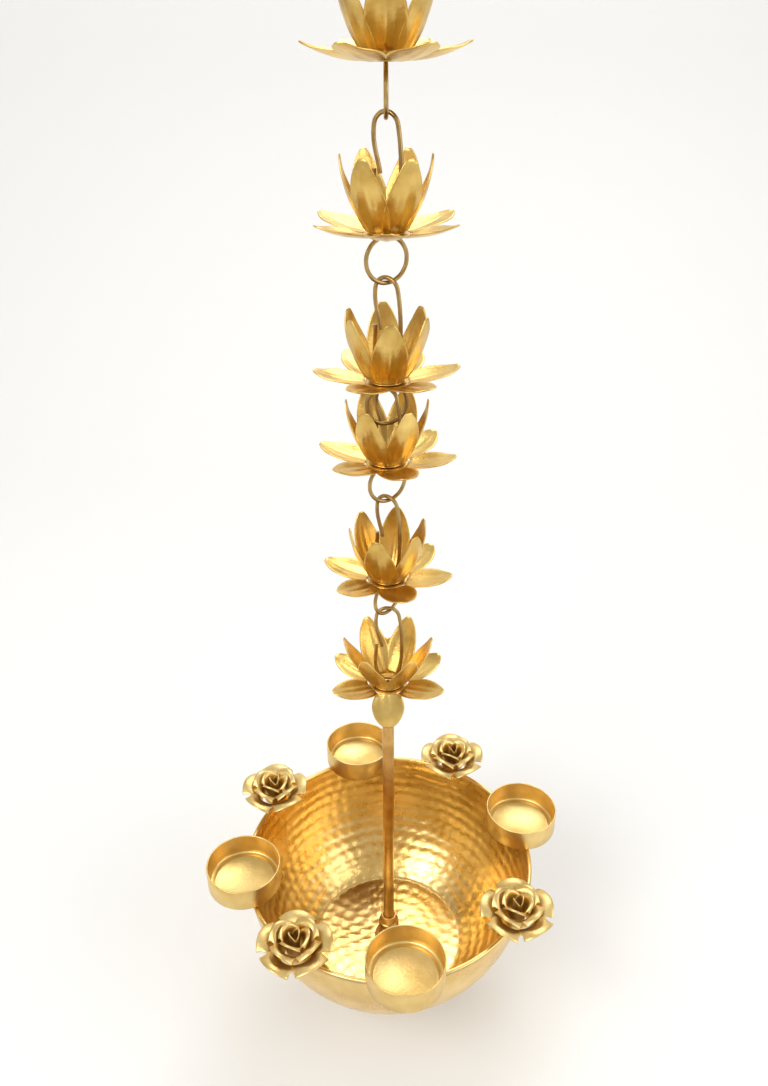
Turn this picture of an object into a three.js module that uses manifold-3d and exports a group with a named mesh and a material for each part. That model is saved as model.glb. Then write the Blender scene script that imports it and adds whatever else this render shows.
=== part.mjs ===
// A hanging urli: six wire-linked lotus flowers carry a stem rod and a shallow round bowl,
// whose rim holds four tealight cups and four rolled roses between them.
// Millimetres, +Z up. The origin is where a hook bears under the arch of the top wire hanger.
import * as THREE from "three";
import { mergeVertices } from "three/addons/utils/BufferGeometryUtils.js";
import Module from "manifold-3d";

const wasm = await Module();
wasm.setup();

// Clearance between touching pieces
const GAP = 0.3;

// Wire links
const WIRE = 1.8;
const RING_OUTER = 20;
const HANGER_HALF_WIDTH = 5.7;
const HANGER_HEIGHT = 43.75;
const LAST_HANGER_HEIGHT = 45.75;
const RAISED_HANGER_HEIGHT = 34.5;
const RAISED_LOTUS = 4;
const STUB_SHARE = 0.54;
const LEG_END_SHARE = 0.5;
const RING_TURN = [90, 27, 18, 30, 49];
const HANGER_TURN = [-35, -35, -35, -35, -35, 0];

// Lotus flowers
const PETALS = 6;
const SHEET = 0.7;
const INNER = { hub: 8, root: 6.6, length: 31, halfWidth: 7.8, startTilt: 52, endTilt: 88, cup: 1.6 };
const OPEN_INNER = { hub: 8, root: 6.6, length: 31, halfWidth: 7.8, startTilt: 48, endTilt: 74, cup: 1.6 };
const OUTER = { hub: 9.8, root: 9.2, length: 23, halfWidth: 8.8, startTilt: 6, endTilt: 26, cup: 1.8 };
const BENT_OUTER = { hub: 9.8, root: 9.2, length: 19, halfWidth: 8.4, startTilt: -50, endTilt: -92, cup: -1.2 };
const BENT_PETAL = 4;
const INNER_TURN = [30, 0, 35, 0, 15, 0];
const OUTER_TURN = [0, 30, 5, 45, 45, 30];

// Stem rod and its screwed socket
const ROD_RADIUS = 3.1;
const SOCKET_RADIUS = 6;
const SOCKET_HEIGHT = 12;
const SOCKET_NECK_RADIUS = 4.6;
const SOCKET_NECK_HEIGHT = 5;
const WASHER_RADIUS = 8.5;
const WASHER_THICKNESS = 1.5;

// Bowl
const RIM_PLANE = -454.5;
const RIM_RADIUS = 82.5;
const RIM_BEAD = 1.3;
const BOWL_WALL = 1.5;
const BOWL_DEPTH = 70;
const BOWL_FOOT_RADIUS = 46;

// Tealight cups and roses on the rim
const CUP_RADIUS = 20.5;
const CUP_HEIGHT = 13.5;
const CUP_WALL = 0.8;
const CUPS = [
  { name: "front", turn: -84, out: 79 },
  { name: "right", turn: 16.4, out: 82.4 },
  { name: "back", turn: 103.4, out: 82.4 },
  { name: "left", turn: 192.5, out: 83 },
];
const ROSE_RADIUS = 20.5;
const ROSES = [
  { name: "front_right", turn: -34, out: 82.4 },
  { name: "back_right", turn: 60, out: 82.4 },
  { name: "back_left", turn: 148, out: 82.4 },
  { name: "front_left", turn: 234, out: 82.4 },
];

const BRASS = { color: 0xcf9a3e, roughness: 0.34, metalness: 1 };
const DARK_BRASS = { color: 0x8a642c, roughness: 0.38, metalness: 1 };
const PALE_BRASS = { color: 0xe3c88a, roughness: 0.4, metalness: 1 };

const urli = new THREE.Group();

// A closed solid from a geometry, with its faces turned out.
function toSolid(geometry) {
  const bare = new THREE.BufferGeometry();
  const source = geometry.index ? geometry.toNonIndexed() : geometry;
  bare.setAttribute("position", source.getAttribute("position"));
  const merged = mergeVertices(bare, 1e-3);
  const triVerts = new Uint32Array(merged.index.array);
  const vertProperties = merged.attributes.position.array;
  const solid = new wasm.Manifold(new wasm.Mesh({ numProp: 3, vertProperties, triVerts }));
  if (solid.volume() > 0) return solid;
  triVerts.reverse();
  return new wasm.Manifold(new wasm.Mesh({ numProp: 3, vertProperties, triVerts }));
}

function toGeometry(solid) {
  const { vertProperties, triVerts } = solid.getMesh();
  const geometry = new THREE.BufferGeometry();
  geometry.setAttribute("position", new THREE.BufferAttribute(new Float32Array(vertProperties), 3));
  geometry.setIndex(new THREE.BufferAttribute(new Uint32Array(triVerts), 1));
  geometry.computeVertexNormals();
  return geometry;
}

function addPiece(name, geometry, finish, x = 0, y = 0, z = 0) {
  const mesh = new THREE.Mesh(toGeometry(toSolid(geometry)), new THREE.MeshStandardMaterial(finish));
  mesh.name = name;
  mesh.position.set(x, y, z);
  urli.add(mesh);
}

// A solid of revolution about Z from a profile of [radius, height] pairs.
function turned(profile, segments) {
  const points = profile.map(([radius, height]) => new THREE.Vector2(radius, height));
  return new THREE.LatheGeometry(points, segments).rotateX(Math.PI / 2);
}

// A sheet petal along +X that curves up from its root: top and bottom skins, joined at the edge.
function petalSolid(shape, turn) {
  const along = 4;
  const across = 1;
  const skins = [[], []];
  let x = shape.root;
  let z = 0;
  for (let i = 0; i <= along; i++) {
    const u = i / along;
    const tilt = THREE.MathUtils.degToRad(shape.startTilt + (shape.endTilt - shape.startTilt) * u);
    const wide = Math.sin(Math.PI * (0.2 + 0.76 * u)) ** 0.62 * shape.halfWidth;
    for (let j = -across; j <= across; j++) {
      const v = j / across;
      const lift = shape.cup * v * v * Math.sin(Math.PI * Math.min(u + 0.15, 0.95));
      const px = x - Math.sin(tilt) * lift;
      const pz = z + Math.cos(tilt) * lift;
      skins[0].push([px, v * wide, pz]);
      skins[1].push([px - Math.sin(tilt) * SHEET, v * wide, pz + Math.cos(tilt) * SHEET]);
    }
    x += (Math.cos(tilt) * shape.length) / along;
    z += (Math.sin(tilt) * shape.length) / along;
  }
  const row = 2 * across + 1;
  const count = skins[0].length;
  const index = [];
  const quad = (a, b, c, d) => index.push(a, b, c, a, c, d);
  for (let i = 0; i < along; i++) {
    for (let j = 0; j < row - 1; j++) {
      const a = i * row + j;
      quad(a, a + 1, a + row + 1, a + row);
      quad(count + a, count + a + row, count + a + row + 1, count + a + 1);
    }
    const left = i * row;
    const right = left + row - 1;
    quad(left, left + row, count + left + row, count + left);
    quad(right, count + right, count + right + row, right + row);
  }
  for (let j = 0; j < row - 1; j++) {
    const tip = along * row + j;
    quad(j, count + j, count + j + 1, j + 1);
    quad(tip, tip + 1, count + tip + 1, count + tip);
  }
  const geometry = new THREE.BufferGeometry();
  const positions = new Float32Array([...skins[0], ...skins[1]].flat());
  geometry.setAttribute("position", new THREE.BufferAttribute(positions, 3));
  geometry.setIndex(index);
  geometry.rotateZ(THREE.MathUtils.degToRad(turn));
  return toSolid(geometry);
}

// Six petals and their hub disc in one stamped sheet.
function whorl(shape, turn, bent = -1) {
  let solid = toSolid(turned([[0, 0], [shape.hub, 0], [shape.hub, SHEET], [0, SHEET]], 12));
  for (let k = 0; k < PETALS; k++) {
    const petal = k === bent ? BENT_OUTER : shape;
    solid = solid.add(petalSolid(petal, turn + (k * 360) / PETALS));
  }
  return toGeometry(solid);
}

// One wire: a stub, a bend across the flower's floor, a leg, the arch and a short second leg.
function hangerWire(height, turn) {
  const side = HANGER_HALF_WIDTH;
  const floor = SHEET * 2 + GAP * 2 + WIRE / 2;
  const stub = height * STUB_SHARE;
  const legEnd = height * LEG_END_SHARE;
  const shoulder = height - side;
  const route = [
    [-side, stub],
    [-side, floor + 5],
    [-side * 0.7, floor + 1.2],
    [0, floor],
    [side * 0.7, floor + 1.2],
    [side, floor + 5],
    [side, shoulder],
    [side * 0.707, shoulder + side * 0.707],
    [0, height],
    [-side * 0.707, shoulder + side * 0.707],
    [-side, shoulder],
    [-side * 0.5, legEnd],
  ];
  const points = route.map(([x, z]) => new THREE.Vector3(x, 0, z));
  const path = new THREE.CatmullRomCurve3(points, false, "centripetal");
  const section = new THREE.Shape().absarc(0, 0, WIRE / 2, 0, Math.PI * 2);
  const wire = new THREE.ExtrudeGeometry(section, { steps: 34, curveSegments: 3, extrudePath: path });
  return wire.rotateZ(THREE.MathUtils.degToRad(turn));
}

function ringWire(turn) {
  const ring = new THREE.TorusGeometry(RING_OUTER / 2 - WIRE / 2, WIRE / 2, 6, 18);
  return ring.rotateX(Math.PI / 2).rotateZ(THREE.MathUtils.degToRad(turn));
}

// Height of each flower's underside: each hanger sits on the ring above it, and the raised one under its top.
function plateHeights() {
  const ringBottom = -GAP - RING_OUTER + WIRE / 2;
  const ringTop = -GAP - WIRE / 2;
  const heights = [];
  for (let n = 1; n <= 6; n++) {
    let height = HANGER_HEIGHT;
    let arch = WIRE / 2;
    if (n === RAISED_LOTUS) height = RAISED_HANGER_HEIGHT;
    if (n === 6) height = LAST_HANGER_HEIGHT;
    if (n > 1) arch = heights[n - 2].plate + ringBottom + WIRE + GAP;
    if (n === RAISED_LOTUS) arch = heights[n - 2].plate + ringTop - WIRE - GAP;
    heights.push({ plate: arch - height, height });
  }
  return heights;
}

const plates = plateHeights();
plates.forEach(({ plate, height }, i) => {
  const n = i + 1;
  const inner = n === 6 ? OPEN_INNER : INNER;
  // The last flower's front petal is bent straight down.
  const bent = n === 6 ? BENT_PETAL : -1;
  addPiece(`lotus_${n}_hanger`, hangerWire(height, HANGER_TURN[i]), DARK_BRASS, 0, 0, plate);
  addPiece(`lotus_${n}_outer_petals`, whorl(OUTER, OUTER_TURN[i], bent), BRASS, 0, 0, plate);
  addPiece(`lotus_${n}_inner_petals`, whorl(inner, INNER_TURN[i]), BRASS, 0, 0, plate + SHEET + GAP);
  if (n < 6) {
    addPiece(`lotus_${n}_ring`, ringWire(RING_TURN[i]), DARK_BRASS, 0, 0, plate - GAP - RING_OUTER / 2);
  }
});

// Bowl: a spherical wall between a flat foot and a rolled rim bead.
function bowlShell() {
  const profile = [[0, -BOWL_DEPTH]];
  const wallRadius = RIM_RADIUS - RIM_BEAD;
  const foot = Math.atan2(BOWL_DEPTH, BOWL_FOOT_RADIUS);
  const squash = BOWL_DEPTH / (wallRadius * Math.sin(foot));
  const steps = 7;
  for (let i = 0; i <= steps; i++) {
    const a = (foot * (steps - i)) / steps;
    profile.push([wallRadius * Math.cos(a), -wallRadius * Math.sin(a) * squash]);
  }
  for (let i = 0; i <= 5; i++) {
    const a = (Math.PI * i) / 5;
    profile.push([wallRadius + RIM_BEAD * Math.cos(a), RIM_BEAD * Math.sin(a)]);
  }
  for (let i = steps; i >= 0; i--) {
    const a = (foot * (steps - i)) / steps;
    const radius = wallRadius - BOWL_WALL;
    profile.push([radius * Math.cos(a), -(BOWL_DEPTH - BOWL_WALL) * (Math.sin(a) / Math.sin(foot))]);
  }
  profile.push([0, -BOWL_DEPTH + BOWL_WALL]);
  return turned(profile, 32);
}
addPiece("bowl", bowlShell(), BRASS, 0, 0, RIM_PLANE);

// Stem rod, held in the socket on the bowl's floor.
const bowlFloor = RIM_PLANE - BOWL_DEPTH + BOWL_WALL;
const washerBottom = bowlFloor + GAP;
const socketBottom = washerBottom + WASHER_THICKNESS + GAP;
const rodTop = plates[5].plate - GAP;
const rodBottom = socketBottom + GAP;
const rodLength = rodTop - rodBottom;
const rod = new THREE.CylinderGeometry(ROD_RADIUS, ROD_RADIUS, rodLength, 20).rotateX(Math.PI / 2);
addPiece("stem_rod", rod, BRASS, 0, 0, rodBottom + rodLength / 2);

const bore = ROD_RADIUS + GAP;
const socketProfile = [
  [bore, 0],
  [SOCKET_RADIUS, 0],
  [SOCKET_RADIUS, SOCKET_HEIGHT],
  [SOCKET_NECK_RADIUS, SOCKET_HEIGHT],
  [SOCKET_NECK_RADIUS, SOCKET_HEIGHT + SOCKET_NECK_HEIGHT],
  [bore, SOCKET_HEIGHT + SOCKET_NECK_HEIGHT],
  [bore, 0],
];
addPiece("stem_socket", turned(socketProfile, 20), BRASS, 0, 0, socketBottom);
const washerProfile = [
  [0, 0],
  [WASHER_RADIUS, 0],
  [WASHER_RADIUS, WASHER_THICKNESS],
  [0, WASHER_THICKNESS],
];
addPiece("socket_washer", turned(washerProfile, 20), BRASS, 0, 0, washerBottom);

// Cups and roses stand on the rim bead.
const seat = RIM_PLANE + RIM_BEAD + GAP;
const place = ({ turn, out }) => {
  const a = THREE.MathUtils.degToRad(turn);
  return [out * Math.cos(a), out * Math.sin(a), seat];
};
for (const cup of CUPS) {
  const profile = [
    [0, 0],
    [CUP_RADIUS, 0],
    [CUP_RADIUS, CUP_HEIGHT],
    [CUP_RADIUS - CUP_WALL, CUP_HEIGHT],
    [CUP_RADIUS - CUP_WALL, CUP_WALL],
    [0, CUP_WALL],
  ];
  addPiece(`tealight_cup_${cup.name}`, turned(profile, 20), PALE_BRASS, ...place(cup));
}

// A rose whorl: a cup of sheet with a lobed rim, standing in the one outside it.
function roseWhorl(base, top, height, lobes, phase) {
  const profile = [
    [0, 0],
    [base, 0],
    [(base + top) / 2 + 1, height * 0.55],
    [top, height],
    [top - SHEET, height],
    [(base + top) / 2 + 1 - SHEET, height * 0.55 + SHEET],
    [base - SHEET, SHEET],
    [0, SHEET],
  ];
  const geometry = turned(profile, 12);
  const position = geometry.getAttribute("position");
  for (let i = 0; i < position.count; i++) {
    const angle = Math.atan2(position.getY(i), position.getX(i));
    const lobe = Math.abs(Math.cos((lobes * angle) / 2 + phase));
    const raised = Math.max(position.getZ(i) - SHEET, 0) / height;
    position.setZ(i, position.getZ(i) * (1 - 0.22 * (1 - lobe) * raised));
  }
  return geometry;
}
for (const rose of ROSES) {
  const [x, y, z] = place(rose);
  const step = SHEET + GAP;
  addPiece(`rose_${rose.name}_outer_petals`, roseWhorl(9, ROSE_RADIUS, 12, 5, 0), PALE_BRASS, x, y, z);
  addPiece(`rose_${rose.name}_middle_petals`, roseWhorl(7.5, 14, 16, 4, 1), PALE_BRASS, x, y, z + step);
  addPiece(`rose_${rose.name}_inner_petals`, roseWhorl(5.5, 8.5, 18, 3, 2), PALE_BRASS, x, y, z + 2 * step);
  addPiece(`rose_${rose.name}_bud`, roseWhorl(3, 3.2, 20, 2, 0), PALE_BRASS, x, y, z + 3 * step);
}

export default urli;
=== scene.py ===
import math

import bpy
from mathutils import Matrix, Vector, noise


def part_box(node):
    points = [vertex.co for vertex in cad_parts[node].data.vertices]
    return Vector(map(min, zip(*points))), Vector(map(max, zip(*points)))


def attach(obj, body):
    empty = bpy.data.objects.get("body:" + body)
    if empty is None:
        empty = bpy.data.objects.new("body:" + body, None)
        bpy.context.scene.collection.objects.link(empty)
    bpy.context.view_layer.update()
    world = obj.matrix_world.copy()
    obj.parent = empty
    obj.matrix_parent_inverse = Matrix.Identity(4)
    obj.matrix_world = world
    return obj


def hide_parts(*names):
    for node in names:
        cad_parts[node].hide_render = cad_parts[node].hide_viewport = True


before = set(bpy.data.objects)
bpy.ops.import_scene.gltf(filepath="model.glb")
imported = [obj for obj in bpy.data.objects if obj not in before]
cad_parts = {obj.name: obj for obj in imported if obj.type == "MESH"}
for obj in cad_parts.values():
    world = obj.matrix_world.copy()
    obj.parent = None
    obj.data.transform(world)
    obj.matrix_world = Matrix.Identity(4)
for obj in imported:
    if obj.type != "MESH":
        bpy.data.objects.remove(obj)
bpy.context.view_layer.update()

MM = 0.001

# Sizes in millimetres, the same as the solids'
WIRE = 1.8
GAP = 0.3
SHEET = 0.7
RING_OUTER = 20.0
RING_POINTS = 12
HANGER_HALF_WIDTH = 5.7
STUB_SHARE = 0.54
LEG_END_SHARE = 0.5
RIM_PLANE = -454.5
RIM_RADIUS = 82.5
RIM_BEAD = 1.3
BOWL_WALL = 1.5
BOWL_DEPTH = 70.0
BOWL_FOOT_RADIUS = 46.0
CUP_RADIUS = 20.5
CUP_HEIGHT = 13.5
CUP_WALL = 0.8
ROD_RADIUS = 3.1
SOCKET_BORE = 3.4
SOCKET_RADIUS = 6.0
SOCKET_NECK_RADIUS = 4.6
WASHER_RADIUS = 8.5
WASHER_THICKNESS = 1.5

# The six flowers, from the top down: heights in millimetres and turns in degrees
PETALS = 6
LOTUS_COUNT = 6
RING_TURN = [90, 27, 18, 30, 49]
HANGER_TURN = [-35, -35, -35, -35, -35, 0]
INNER_TURN = [30, 0, 35, 0, 15, 0]
OUTER_TURN = [0, 30, 5, 45, 45, 30]
HANGER_HEIGHTS = [43.75, 43.75, 43.75, 34.5, 43.75, 45.75]

# Petals: where they leave the hub, their size, their tilt from root to tip, and their cupping
INNER = {"hub": 8.0, "root": 6.6, "length": 31, "half": 7.8, "tilt": (52, 88), "cup": 1.6}
OPEN_INNER = {"hub": 8.0, "root": 6.6, "length": 31, "half": 7.8, "tilt": (48, 74), "cup": 1.6}
OUTER = {"hub": 9.8, "root": 9.2, "length": 23, "half": 8.8, "tilt": (6, 26), "cup": 1.8}
BENT = {"hub": 9.8, "root": 9.2, "length": 19, "half": 8.4, "tilt": (-50, -92), "cup": -1.2}
BENT_PETAL = 4
PETAL_ROWS = 14
PETAL_HALF_COLUMNS = 6
PETAL_FULLNESS = 0.62
VEIN_DEPTH = 0.5
VEIN_WIDTH = 0.09
SIDE_VEIN_PLACE = 0.45
SIDE_VEIN_WIDTH = 0.1
SIDE_VEIN_SHARE = 0.6

# Hammered face of the bowl
DIMPLE_SPACING = 7.0
DIMPLE_DEPTH = 0.45
DIMPLE_REACH = 0.6
DIMPLE_WANDER = 13.0
BOWL_SIDES = 240
OUTER_STEPS = 22
BEAD_STEPS = 9
INNER_STEPS = 60
FLOOR_STEPS = 24

# Roses: name, base radius, top radius, height, petal count, phase and lean of each layer
ROSE_CORNERS = ("front_right", "back_right", "back_left", "front_left")
ROSE_LAYERS = (
    ("outer", 8, 20.0, 11.0, 5, 0.3, 0.8),
    ("middle", 6, 13.8, 15.0, 4, 0.9, 0.7),
    ("inner", 4, 8.4, 17.0, 3, 0.1, 0.5),
    ("bud", 2.2, 3.0, 19.0, 2, 0.5, 0.3),
)
ROSE_SHEET = 0.6
ROSE_LIFT = 0.4
ROSE_OVERLAP = 1.25

# Camera, from the fit to the photograph, in metres and degrees
CAMERA_PLACE = (-0.0006, -0.3785, -0.0291)
CAMERA_PITCH = 29.67
CAMERA_ROLL = 0.28
CAMERA_LENS = 30.75
CAMERA_SENSOR = 36

# Lamps: name, place in metres, power in watts and size in metres
LAMPS = (
    ("key", (-0.9, -0.9, 0.9), 16, 0.9),
    ("fill", (1.2, -0.5, 0.3), 7, 1.0),
    ("back", (0.2, 1.0, 0.9), 9, 0.8),
)
LAMP_AIM = (0, 0, -0.3)
WORLD_COLOUR = (0.86, 0.86, 0.86, 1)
WORLD_STRENGTH = 0.75

# Floor that sweeps up into a wall behind the object, in millimetres
FLOOR_Z = -560
FLOOR_FRONT = -1500
SWEEP_START = 700
SWEEP_RADIUS = 500
SWEEP_STEPS = 12
WALL_TOP = 1600
FLOOR_HALF_WIDTH = 2500
FLOOR_COLOUR = (0.82, 0.81, 0.79, 1)


def link(name, data):
    obj = bpy.data.objects.new(name, data)
    bpy.context.scene.collection.objects.link(obj)
    return obj


def place(obj, material, body, node):
    """Gives a new piece its material and its body, and hides the solid that it stands for."""
    obj.data.materials.clear()
    obj.data.materials.append(material)
    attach(obj, body)
    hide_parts(node)


def mesh_piece(name, vertices, faces):
    mesh = bpy.data.meshes.new(name)
    mesh.from_pydata([Vector(v) * MM for v in vertices], [], faces)
    mesh.validate()
    for polygon in mesh.polygons:
        polygon.use_smooth = True
    return link(name, mesh)


def sheet_metal(obj, thickness, offset=1.0):
    solid = obj.modifiers.new("thickness", "SOLIDIFY")
    solid.thickness = thickness * MM
    solid.offset = offset
    rounding = obj.modifiers.new("rounding", "SUBSURF")
    rounding.levels = 1
    rounding.render_levels = 1


def grid_faces(rows, columns, start=0, wrap=False):
    """Quads between rows of vertices, joined end to end where the rows are rings."""
    faces = []
    last = columns if wrap else columns - 1
    for i in range(rows - 1):
        for j in range(last):
            k = (j + 1) % columns
            a, b = start + i * columns + j, start + i * columns + k
            faces.append((a, b, b + columns, a + columns))
    return faces


def wire_piece(name, points, closed=False):
    curve = bpy.data.curves.new(name, "CURVE")
    curve.dimensions = "3D"
    curve.bevel_depth = WIRE / 2 * MM
    curve.bevel_resolution = 5
    curve.resolution_u = 10
    curve.use_fill_caps = True
    spline = curve.splines.new("BEZIER")
    spline.bezier_points.add(len(points) - 1)
    for knot, point in zip(spline.bezier_points, points):
        knot.co = Vector(point) * MM
        knot.handle_left_type = "AUTO"
        knot.handle_right_type = "AUTO"
    spline.use_cyclic_u = closed
    return link(name, curve)


def brass(name, dark, light, roughness, grain, bump):
    """Satin brass: cloudy tone, uneven polish and fine handling marks."""
    material = bpy.data.materials.new(name)
    material.use_nodes = True
    nodes, links = material.node_tree.nodes, material.node_tree.links
    shader = nodes["Principled BSDF"]
    shader.inputs["Metallic"].default_value = 1.0
    where = nodes.new("ShaderNodeTexCoord")
    cloud = nodes.new("ShaderNodeTexNoise")
    cloud.inputs["Scale"].default_value = grain
    cloud.inputs["Detail"].default_value = 6
    tone = nodes.new("ShaderNodeValToRGB")
    tone.color_ramp.elements[0].position = 0.3
    tone.color_ramp.elements[1].position = 0.7
    tone.color_ramp.elements[0].color = (*dark, 1)
    tone.color_ramp.elements[1].color = (*light, 1)
    polish = nodes.new("ShaderNodeMapRange")
    polish.inputs["To Min"].default_value = roughness - 0.08
    polish.inputs["To Max"].default_value = roughness + 0.1
    marks = nodes.new("ShaderNodeTexNoise")
    marks.inputs["Scale"].default_value = grain * 9
    marks.inputs["Detail"].default_value = 4
    relief = nodes.new("ShaderNodeBump")
    relief.inputs["Strength"].default_value = bump
    relief.inputs["Distance"].default_value = 0.0004
    links.new(where.outputs["Object"], cloud.inputs["Vector"])
    links.new(where.outputs["Object"], marks.inputs["Vector"])
    links.new(cloud.outputs["Fac"], tone.inputs["Fac"])
    links.new(tone.outputs["Color"], shader.inputs["Base Color"])
    links.new(cloud.outputs["Fac"], polish.inputs["Value"])
    links.new(polish.outputs["Result"], shader.inputs["Roughness"])
    links.new(marks.outputs["Fac"], relief.inputs["Height"])
    links.new(relief.outputs["Normal"], shader.inputs["Normal"])
    return material


WIRE_BRASS = brass("wire_brass", (0.32, 0.20, 0.07), (0.55, 0.37, 0.14), 0.32, 160, 0.15)
LOTUS_BRASS = brass("lotus_brass", (0.55, 0.34, 0.08), (0.86, 0.61, 0.20), 0.3, 90, 0.3)
BOWL_BRASS = brass("bowl_brass", (0.66, 0.43, 0.13), (0.92, 0.68, 0.29), 0.27, 45, 0.25)
PALE_BRASS = brass("pale_brass", (0.66, 0.45, 0.15), (0.88, 0.66, 0.28), 0.36, 70, 0.25)
ROD_BRASS = brass("rod_brass", (0.50, 0.29, 0.08), (0.78, 0.52, 0.20), 0.3, 110, 0.2)

bpy.context.scene.view_settings.view_transform = "Standard"


# Camera and studio
def camera():
    data = bpy.data.cameras.new("camera")
    data.sensor_width = CAMERA_SENSOR
    data.lens = CAMERA_LENS
    data.clip_start = 0.01
    obj = link("camera", data)
    obj.location = CAMERA_PLACE
    obj.rotation_euler = (math.radians(90 - CAMERA_PITCH), math.radians(CAMERA_ROLL), 0)
    bpy.context.scene.camera = obj


def lamp(name, place_m, power, size):
    data = bpy.data.lights.new(name, "AREA")
    data.energy = power
    data.size = size
    obj = link(name, data)
    obj.location = place_m
    aim = Vector(LAMP_AIM) - Vector(place_m)
    obj.rotation_euler = aim.to_track_quat("-Z", "Y").to_euler()


def studio():
    for row in LAMPS:
        lamp(*row)
    world = bpy.data.worlds.new("studio")
    bpy.context.scene.world = world
    world.use_nodes = True
    background = world.node_tree.nodes["Background"]
    background.inputs["Color"].default_value = WORLD_COLOUR
    background.inputs["Strength"].default_value = WORLD_STRENGTH


def floor():
    profile = [(FLOOR_FRONT, FLOOR_Z), (SWEEP_START, FLOOR_Z)]
    for k in range(1, SWEEP_STEPS + 1):
        a = math.pi / 2 * k / SWEEP_STEPS
        y = SWEEP_START + SWEEP_RADIUS * math.sin(a)
        z = FLOOR_Z + SWEEP_RADIUS - SWEEP_RADIUS * math.cos(a)
        profile.append((y, z))
    profile.append((SWEEP_START + SWEEP_RADIUS, WALL_TOP))
    columns = [(x, y, z) for y, z in profile for x in (-FLOOR_HALF_WIDTH, FLOOR_HALF_WIDTH)]
    obj = mesh_piece("floor", columns, grid_faces(len(profile), 2))
    material = bpy.data.materials.new("floor")
    material.use_nodes = True
    shader = material.node_tree.nodes["Principled BSDF"]
    shader.inputs["Base Color"].default_value = FLOOR_COLOUR
    shader.inputs["Roughness"].default_value = 0.8
    obj.data.materials.append(material)


# Lotus flowers
def petal_rows(shape):
    """Points of one petal along +X: a tilted, cupped leaf with a middle vein and two side veins."""
    points = []
    x, z = shape["root"], 0.0
    first, last = shape["tilt"]
    for i in range(PETAL_ROWS + 1):
        u = i / PETAL_ROWS
        tilt = math.radians(first + (last - first) * u)
        wide = math.sin(math.pi * (0.2 + 0.785 * u)) ** PETAL_FULLNESS * shape["half"]
        fade = math.sin(math.pi * min(1, 0.1 + u))
        for j in range(-PETAL_HALF_COLUMNS, PETAL_HALF_COLUMNS + 1):
            v = j / PETAL_HALF_COLUMNS
            middle_vein = math.exp(-((v / VEIN_WIDTH) ** 2))
            side_vein = math.exp(-(((abs(v) - SIDE_VEIN_PLACE) / SIDE_VEIN_WIDTH) ** 2))
            lift = shape["cup"] * v * v * math.sin(math.pi * min(u + 0.15, 0.95))
            lift -= VEIN_DEPTH * (middle_vein + SIDE_VEIN_SHARE * side_vein) * fade
            points.append((x - math.sin(tilt) * lift, v * wide, z + math.cos(tilt) * lift))
        x += math.cos(tilt) * shape["length"] / PETAL_ROWS
        z += math.sin(tilt) * shape["length"] / PETAL_ROWS
    return points


def whorl(name, stamped, turn, plate, bent=None):
    """Six veined petals on a hub disc, stamped from one sheet."""
    vertices, faces = [], []
    for k in range(PETALS):
        angle = math.radians(turn + 360 * k / PETALS)
        start = len(vertices)
        for px, py, pz in petal_rows(BENT if k == bent else stamped):
            x = px * math.cos(angle) - py * math.sin(angle)
            y = px * math.sin(angle) + py * math.cos(angle)
            vertices.append((x, y, plate + pz))
        faces += grid_faces(PETAL_ROWS + 1, 2 * PETAL_HALF_COLUMNS + 1, start)
    hub_start = len(vertices)
    rings, sides, eye = 4, 36, 0.4
    for i in range(rings):
        radius = eye + (stamped["hub"] - eye) * i / (rings - 1)
        for j in range(sides):
            a = 2 * math.pi * j / sides
            vertices.append((radius * math.cos(a), radius * math.sin(a), plate))
    faces += grid_faces(rings, sides, hub_start, wrap=True)
    obj = mesh_piece(name, vertices, faces)
    sheet_metal(obj, SHEET)
    return obj


def hanger(name, height, turn, plate):
    """One bent wire: a stub, a bend across the flower's floor, a leg, the arch and a short leg."""
    side = HANGER_HALF_WIDTH
    low = SHEET * 2 + GAP * 2 + WIRE / 2
    shoulder = height - side
    route = [
        (-side, height * STUB_SHARE),
        (-side, low + 5),
        (-side * 0.7, low + 1.2),
        (0, low),
        (side * 0.7, low + 1.2),
        (side, low + 5),
        (side, shoulder),
        (side * 0.707, shoulder + side * 0.707),
        (0, height),
        (-side * 0.707, shoulder + side * 0.707),
        (-side, shoulder),
        (-side * 0.5, height * LEG_END_SHARE),
    ]
    a = math.radians(turn)
    return wire_piece(name, [(x * math.cos(a), x * math.sin(a), plate + z) for x, z in route])


def ring(name, turn, plate):
    radius = RING_OUTER / 2 - WIRE / 2
    a = math.radians(turn)
    points = []
    for k in range(RING_POINTS):
        t = 2 * math.pi * k / RING_POINTS
        x = radius * math.cos(t)
        z = plate - GAP - RING_OUTER / 2 + radius * math.sin(t)
        points.append((x * math.cos(a), x * math.sin(a), z))
    return wire_piece(name, points, closed=True)


def lotus(n):
    """Flower n, counted from the top, at the height of its own hanger's solid."""
    i = n - 1
    last = n == LOTUS_COUNT
    body = f"lotus_{n}"
    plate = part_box(f"{body}_hanger")[1][2] / MM - WIRE / 2 - HANGER_HEIGHTS[i]
    outer = whorl(f"{body}_outer", OUTER, OUTER_TURN[i], plate, BENT_PETAL if last else None)
    place(outer, LOTUS_BRASS, body, f"{body}_outer_petals")
    inner = whorl(f"{body}_inner", OPEN_INNER if last else INNER, INNER_TURN[i], plate + SHEET + GAP)
    place(inner, LOTUS_BRASS, body, f"{body}_inner_petals")
    wire = hanger(f"{body}_hanger_wire", HANGER_HEIGHTS[i], HANGER_TURN[i], plate)
    place(wire, WIRE_BRASS, body, f"{body}_hanger")
    if not last:
        loop = ring(f"{body}_ring_wire", RING_TURN[i], plate)
        place(loop, WIRE_BRASS, body, f"{body}_ring")


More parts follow.
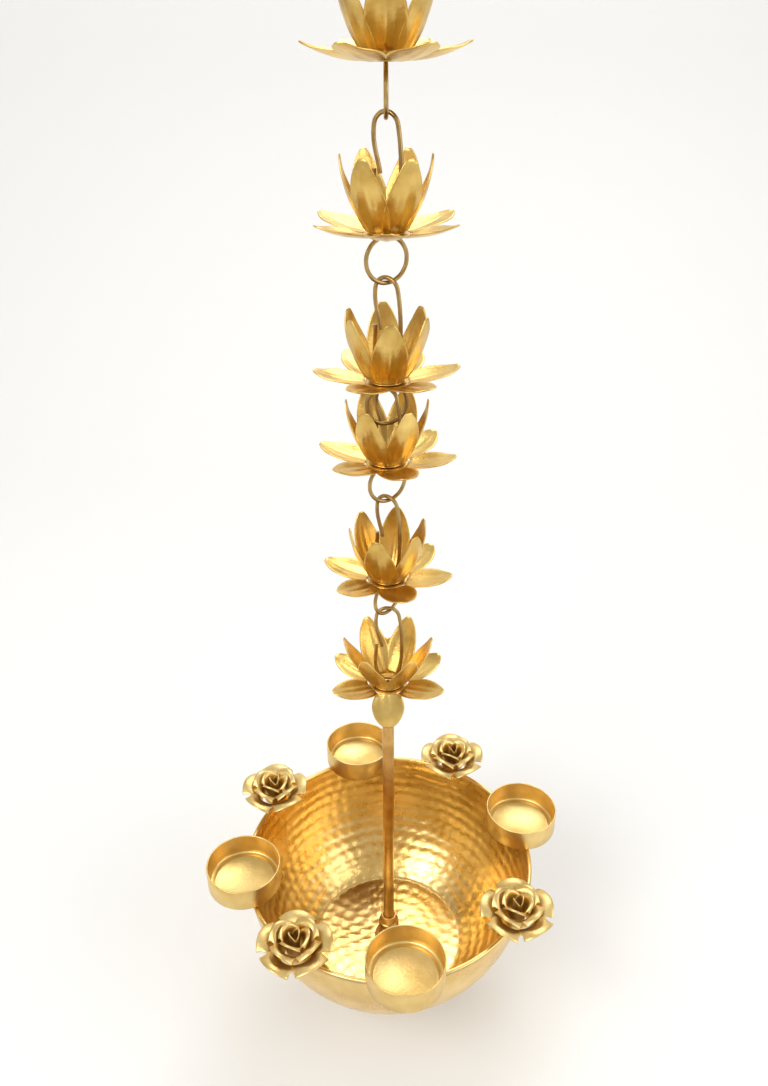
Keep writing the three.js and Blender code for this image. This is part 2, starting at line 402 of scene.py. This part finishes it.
# Bowl
def dimple(radius, z, a):
    """Rows of hammer dimples round the wall and floor, staggered and a little uneven, from 0 to 1."""
    arc = math.atan2(-z, max(radius, 0.1)) * RIM_RADIUS
    if z <= -BOWL_DEPTH + BOWL_WALL + 0.01:
        arc = 80 + BOWL_FOOT_RADIUS - radius
    wander = noise.noise(Vector((radius * math.cos(a), radius * math.sin(a), z)) / DIMPLE_WANDER)
    row = arc / DIMPLE_SPACING + 0.22 * wander
    level = round(row)
    about = max(6, round(2 * math.pi * max(radius, 8) / (DIMPLE_SPACING * 2)) * 2)
    column = a / (2 * math.pi) * about + 0.5 * (level % 2) + 0.3 * wander
    away = math.hypot(row - level, column - round(column))
    return max(0.0, 1 - (away / DIMPLE_REACH) ** 2)


def bowl_profile():
    """Radius, height and whether it is beaten, from under the foot, over the bead, to the floor."""
    foot = math.atan2(BOWL_DEPTH, BOWL_FOOT_RADIUS)
    wall = RIM_RADIUS - RIM_BEAD
    profile = [(1, -BOWL_DEPTH, False), (BOWL_FOOT_RADIUS * 0.5, -BOWL_DEPTH, False)]
    for i in range(OUTER_STEPS + 1):
        a = foot * (OUTER_STEPS - i) / OUTER_STEPS
        profile.append((wall * math.cos(a), -BOWL_DEPTH * math.sin(a) / math.sin(foot), False))
    for i in range(1, BEAD_STEPS):
        a = math.pi * i / BEAD_STEPS
        profile.append((wall + RIM_BEAD * math.cos(a), RIM_BEAD * math.sin(a), False))
    for i in range(INNER_STEPS, -1, -1):
        a = foot * (INNER_STEPS - i) / INNER_STEPS
        depth = (BOWL_DEPTH - BOWL_WALL) * math.sin(a) / math.sin(foot)
        profile.append(((wall - BOWL_WALL) * math.cos(a), -depth, True))
    floor_radius = profile[-1][0]
    for i in range(1, FLOOR_STEPS):
        profile.append((floor_radius * (1 - i / FLOOR_STEPS), -BOWL_DEPTH + BOWL_WALL, True))
    return profile


def bowl():
    """A spun shell with a rolled bead; its inner face is beaten into shallow dimples."""
    profile = bowl_profile()
    vertices = []
    for radius, z, beaten in profile:
        for j in range(BOWL_SIDES):
            a = 2 * math.pi * j / BOWL_SIDES
            point = Vector((radius * math.cos(a), radius * math.sin(a), z))
            if beaten:
                point += point.normalized() * (DIMPLE_DEPTH * dimple(radius, z, a))
            vertices.append((point.x, point.y, point.z + RIM_PLANE))
    obj = mesh_piece("urli_bowl", vertices, grid_faces(len(profile), BOWL_SIDES, wrap=True))
    place(obj, BOWL_BRASS, "bowl_group", "bowl")


# Roses
def rose_whorl(name, base, top, height, count, phase, lean, centre):
    """Overlapping petals that stand round the bud and flare at the lip."""
    rows, columns = 10, 8
    vertices, faces = [], []
    span = 2 * math.pi / count * ROSE_OVERLAP
    for k in range(count):
        start = len(vertices)
        middle = phase + 2 * math.pi * k / count
        for i in range(rows + 1):
            u = i / rows
            for j in range(columns + 1):
                v = 2 * j / columns - 1
                a = middle + v * span / 2 * (0.7 + 0.3 * math.sin(math.pi * min(1, u + 0.2)))
                radius = min(base + (top - base) * u ** 1.5 + lean * v * u, top)
                z = height * math.sin(u * math.pi / 2 * 1.12) * (1 - 0.3 * v * v * u)
                x = centre[0] + radius * math.cos(a)
                y = centre[1] + radius * math.sin(a)
                vertices.append((x, y, centre[2] + max(z, 0)))
        faces += grid_faces(rows + 1, columns + 1, start)
    obj = mesh_piece(name, vertices, faces)
    sheet_metal(obj, ROSE_SHEET, offset=0.0)
    return obj


def foot_centre(node):
    """The middle of a node's lowest level, in millimetres."""
    low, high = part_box(node)
    return ((low[0] + high[0]) / 2 / MM, (low[1] + high[1]) / 2 / MM, low[2] / MM)


def roses():
    for corner in ROSE_CORNERS:
        x, y, z = foot_centre(f"rose_{corner}_outer_petals")
        for layer, base, top, height, count, phase, lean in ROSE_LAYERS:
            node = f"rose_{corner}_bud" if layer == "bud" else f"rose_{corner}_{layer}_petals"
            centre = (x, y, z + ROSE_LIFT)
            piece = rose_whorl(f"rose_{corner}_{layer}", base, top, height, count, phase, lean, centre)
            place(piece, PALE_BRASS, "bowl_group", node)


# Turned pieces
def lathe(name, profile, centre, sides=72):
    """A surface turned about an upright axis from radius and height pairs."""
    vertices = []
    for radius, z in profile:
        for j in range(sides):
            a = 2 * math.pi * j / sides
            x = centre[0] + radius * math.cos(a)
            y = centre[1] + radius * math.sin(a)
            vertices.append((x, y, centre[2] + z))
    return mesh_piece(name, vertices, grid_faces(len(profile), sides, wrap=True))


def cups():
    """Thin spun cups; the lip is rounded and the floor has a pressed ring."""
    radius, height, wall = CUP_RADIUS, CUP_HEIGHT, CUP_WALL
    profile = [
        (0.3, 0),
        (radius - 0.8, 0),
        (radius - 0.25, 0.2),
        (radius, 0.8),
        (radius, height - 0.3),
        (radius - 0.12, height - 0.06),
        (radius - 0.4, height),
        (radius - 0.68, height - 0.06),
        (radius - wall, height - 0.3),
        (radius - wall, wall + 0.9),
        (radius - wall - 0.4, wall + 0.2),
        (radius - wall - 1.4, wall),
        (radius - 3.6, wall),
        (radius - 4.0, wall + 0.25),
        (radius - 4.4, wall),
        (0.3, wall),
    ]
    for side in ("front", "right", "back", "left"):
        node = f"tealight_cup_{side}"
        piece = lathe(f"cup_{side}", profile, foot_centre(node))
        place(piece, PALE_BRASS, "bowl_group", node)


def rod_profile():
    low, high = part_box("stem_rod")
    length = (high[2] - low[2]) / MM
    return [
        (0.3, 0),
        (ROD_RADIUS - 0.3, 0),
        (ROD_RADIUS, 0.3),
        (ROD_RADIUS, 1.0),
        (ROD_RADIUS, length - 1),
        (ROD_RADIUS, length - 0.3),
        (ROD_RADIUS - 0.3, length),
        (0.3, length),
    ]


def socket_profile():
    """A body with a groove near its foot, a narrower neck, and the bore for the rod."""
    body, neck, bore = SOCKET_RADIUS, SOCKET_NECK_RADIUS, SOCKET_BORE
    return [
        (bore, 0),
        (body - 0.3, 0),
        (body, 0.3),
        (body, 3.2),
        (body - 0.3, 3.5),
        (body, 3.8),
        (body, 11.6),
        (body - 0.4, 12),
        (neck, 12.3),
        (neck, 16.7),
        (neck - 0.3, 17),
        (bore, 17),
        (bore, 9),
        (bore, 0),
    ]


def washer_profile():
    radius, thick = WASHER_RADIUS, WASHER_THICKNESS
    return [(0.3, 0), (radius - 0.3, 0), (radius, 0.3), (radius, thick - 0.3), (radius - 0.3, thick), (0.3, thick)]


def stem():
    """The rod, the socket that holds its lower end, and the washer under the socket."""
    rows = (
        ("rod", rod_profile(), "lotus_6", "stem_rod"),
        ("socket", socket_profile(), "bowl_group", "stem_socket"),
        ("washer", washer_profile(), "bowl_group", "socket_washer"),
    )
    for name, profile, body, node in rows:
        low_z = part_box(node)[0][2] / MM
        place(lathe(name, profile, (0, 0, low_z)), ROD_BRASS, body, node)


camera()
studio()
floor()
for number in range(1, LOTUS_COUNT + 1):
    lotus(number)
bowl()
roses()
cups()
stem()
